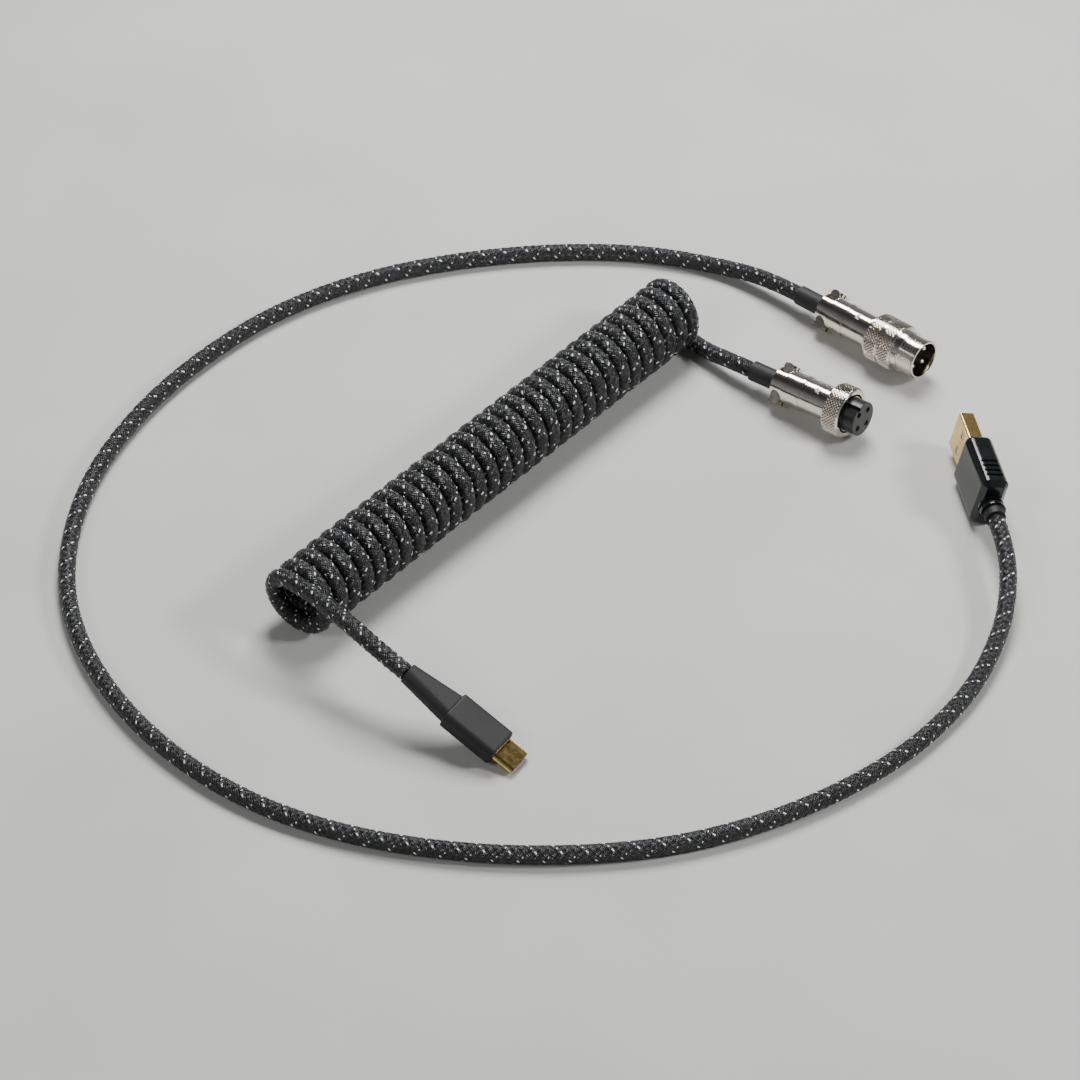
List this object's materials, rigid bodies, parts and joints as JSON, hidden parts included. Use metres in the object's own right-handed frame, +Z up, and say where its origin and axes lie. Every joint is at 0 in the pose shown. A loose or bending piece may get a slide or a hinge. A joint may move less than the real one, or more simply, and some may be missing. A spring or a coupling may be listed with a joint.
{
  "type": "coiled keyboard cable",
  "caption": "Coiled braided keyboard cable in two halves that part at a round aviator connector, with a USB-C plug and a USB-A plug.",
  "frame": {"origin": "middle of the connectors' box, on the table that the cable lies on", "axes": "+X along the coil, from its USB-C end to its aviator end; +Y across the table, from the connectors' mating ends towards the coil; +Z up"},
  "size_m": [0.2666, 0.2616, 0.0235],
  "materials": {
    "braid": "black braided sleeve with white tracer threads",
    "heat_shrink": "matte black heat-shrink tube",
    "nickel": "polished nickel plate",
    "steel": "nickel-plated steel",
    "gold": "gold plate",
    "insulator": "black moulded insulator",
    "gloss_black": "glossy black moulded plastic",
    "core": "plain cable jacket and wires",
    "board": "circuit board"
  },
  "bodies": {
    "device_half": {"coil": "braid", "aviator_lead": "braid", "female_heat_shrink": "heat_shrink", "female_rear_barrel": "nickel", "female_groove_ring": "nickel", "female_clamp_strap": "nickel", "female_clamp_screws": "steel", "female_cable_core": "core", "female_barrel": "nickel", "female_set_screw": "steel", "female_insert": "insulator", "female_socket_contacts": "gold"},
    "usb_c_end": {"usb_c_lead": "braid", "usb_c_shell": "gold", "usb_c_insulator": "insulator", "usb_c_contacts": "gold", "usb_c_latch_springs": "steel", "usb_c_circuit_board": "board", "usb_c_housing": "insulator", "usb_c_body_sleeve": "heat_shrink", "usb_c_strain_sleeve": "heat_shrink", "usb_c_cable_core": "core"},
    "coupling_nut_washer": {"coupling_nut_washer": "steel"},
    "coupling_nut": {"coupling_nut": "nickel"},
    "host_half": {"male_heat_shrink": "heat_shrink", "male_rear_barrel": "nickel", "male_groove_ring": "nickel", "male_clamp_strap": "nickel", "male_clamp_screws": "steel", "male_cable_core": "core", "male_barrel": "nickel", "male_set_screw": "steel", "male_shell": "nickel", "male_insert": "insulator", "male_pins": "nickel", "usb_a_shell": "gold", "usb_a_insulator": "insulator", "usb_a_contacts": "gold", "usb_a_circuit_board": "board", "usb_a_overmould": "gloss_black", "usb_a_heat_shrink": "heat_shrink", "usb_a_cable_core": "core", "host_lead": "braid"},
    "lock_ring": {"lock_ring": "nickel"}
  },
  "joints": [
    {"name": "coil_stretch", "type": "slide", "parent": "device_half", "child": "usb_c_end", "axis": [-1, 0, 0], "range_m": [0, 0.03], "stiffness_N_per_m": 40, "deforming": ["coil"]},
    {"name": "coupling_nut_travel", "type": "slide", "parent": "device_half", "child": "coupling_nut_washer", "axis": [0.0348, -0.9975, 0.061], "range_m": [0, 0.0036]},
    {"name": "coupling_nut_spin", "type": "hinge", "parent": "coupling_nut_washer", "child": "coupling_nut", "pos_m": [0.06527, 0.0072, 0.00812], "axis": [0.0348, -0.9975, 0.061], "continuous": true},
    {"name": "host_half_lift", "type": "slide", "parent": "device_half", "child": "host_half", "axis": [0, 0, 1], "range_m": [0, 0.12]},
    {"name": "lock_ring_spin", "type": "hinge", "parent": "host_half", "child": "lock_ring", "pos_m": [0.09894, 0.02075, 0.0075], "axis": [-0.0557, -0.9971, 0.0523], "continuous": true}
  ]
}
